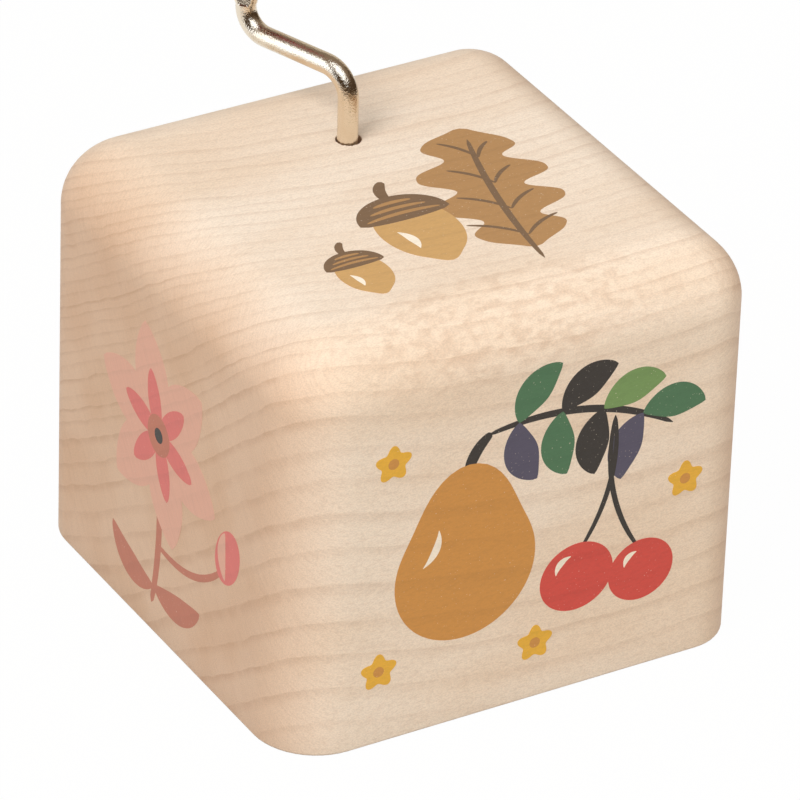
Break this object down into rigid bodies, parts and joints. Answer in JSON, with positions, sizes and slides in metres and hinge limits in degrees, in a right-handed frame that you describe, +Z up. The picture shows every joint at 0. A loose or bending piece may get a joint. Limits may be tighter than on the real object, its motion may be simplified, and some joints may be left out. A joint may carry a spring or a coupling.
{
  "type": "sound cube",
  "caption": "Hollow wooden cube with rounded edges, a hand-cranked music box movement inside, a bent wire crank with a turning knob on top, and a screwed base plate.",
  "frame": {"origin": "under the middle of the block, on the surface it stands on", "axes": "+Z up; -Y is the front of the block, as the picture's right-hand face; the crank comes out of the top on X = 0 towards the back (+Y)"},
  "size_m": [0.07, 0.07, 0.0916],
  "materials": {
    "maple": "pale close-grained wood, finely sanded, thin matt oil",
    "birch_plywood": "bare sanded plywood",
    "zinc_screw": "zinc-plated steel",
    "die_cast": "as-cast zinc alloy, satin grey",
    "comb_steel": "ground spring steel",
    "brass": "turned brass, bright",
    "nylon": "moulded natural nylon",
    "nickel_plate": "bright nickel plate, slightly warm",
    "knob_lacquer": "dark red gloss lacquer on turned wood"
  },
  "bodies": {
    "case": {"block_shell": "maple", "base_plate": "birch_plywood", "base_screw_1": "zinc_screw", "base_screw_2": "zinc_screw", "base_screw_3": "zinc_screw", "base_screw_4": "zinc_screw", "mounting_board": "birch_plywood", "movement_frame": "die_cast", "frame_screw_1": "zinc_screw", "frame_screw_2": "zinc_screw", "frame_screw_3": "zinc_screw", "comb": "comb_steel", "comb_screw_1": "comb_steel", "comb_screw_2": "comb_steel", "worm_bridge": "comb_steel", "bridge_screw_1": "zinc_screw", "bridge_screw_2": "zinc_screw"},
    "crank": {"worm_shaft": "comb_steel", "crank_wire": "nickel_plate", "knob_washer": "nickel_plate"},
    "knob": {"crank_knob": "knob_lacquer"},
    "cylinder": {"cylinder_tube": "brass", "cylinder_cap": "brass", "cylinder_arbor": "comb_steel", "arbor_clip": "comb_steel", "worm_wheel": "nylon"}
  },
  "joints": [
    {"name": "crank_spin", "type": "hinge", "parent": "case", "child": "crank", "pos_m": [0, 0.01363, 0.03893], "axis": [0, 0, 1], "continuous": true},
    {"name": "knob_spin", "type": "hinge", "parent": "crank", "child": "knob", "pos_m": [-0.00643, 0.03065, 0.07755], "axis": [0, 0, 1], "continuous": true},
    {"name": "cylinder_spin", "type": "hinge", "parent": "case", "child": "cylinder", "pos_m": [-0.0095, 0, 0.03893], "axis": [0, 1, 0], "continuous": true}
  ],
  "couplings": [
    {"joint": "cylinder_spin", "follows": "crank_spin", "ratio": 0.071429}
  ]
}
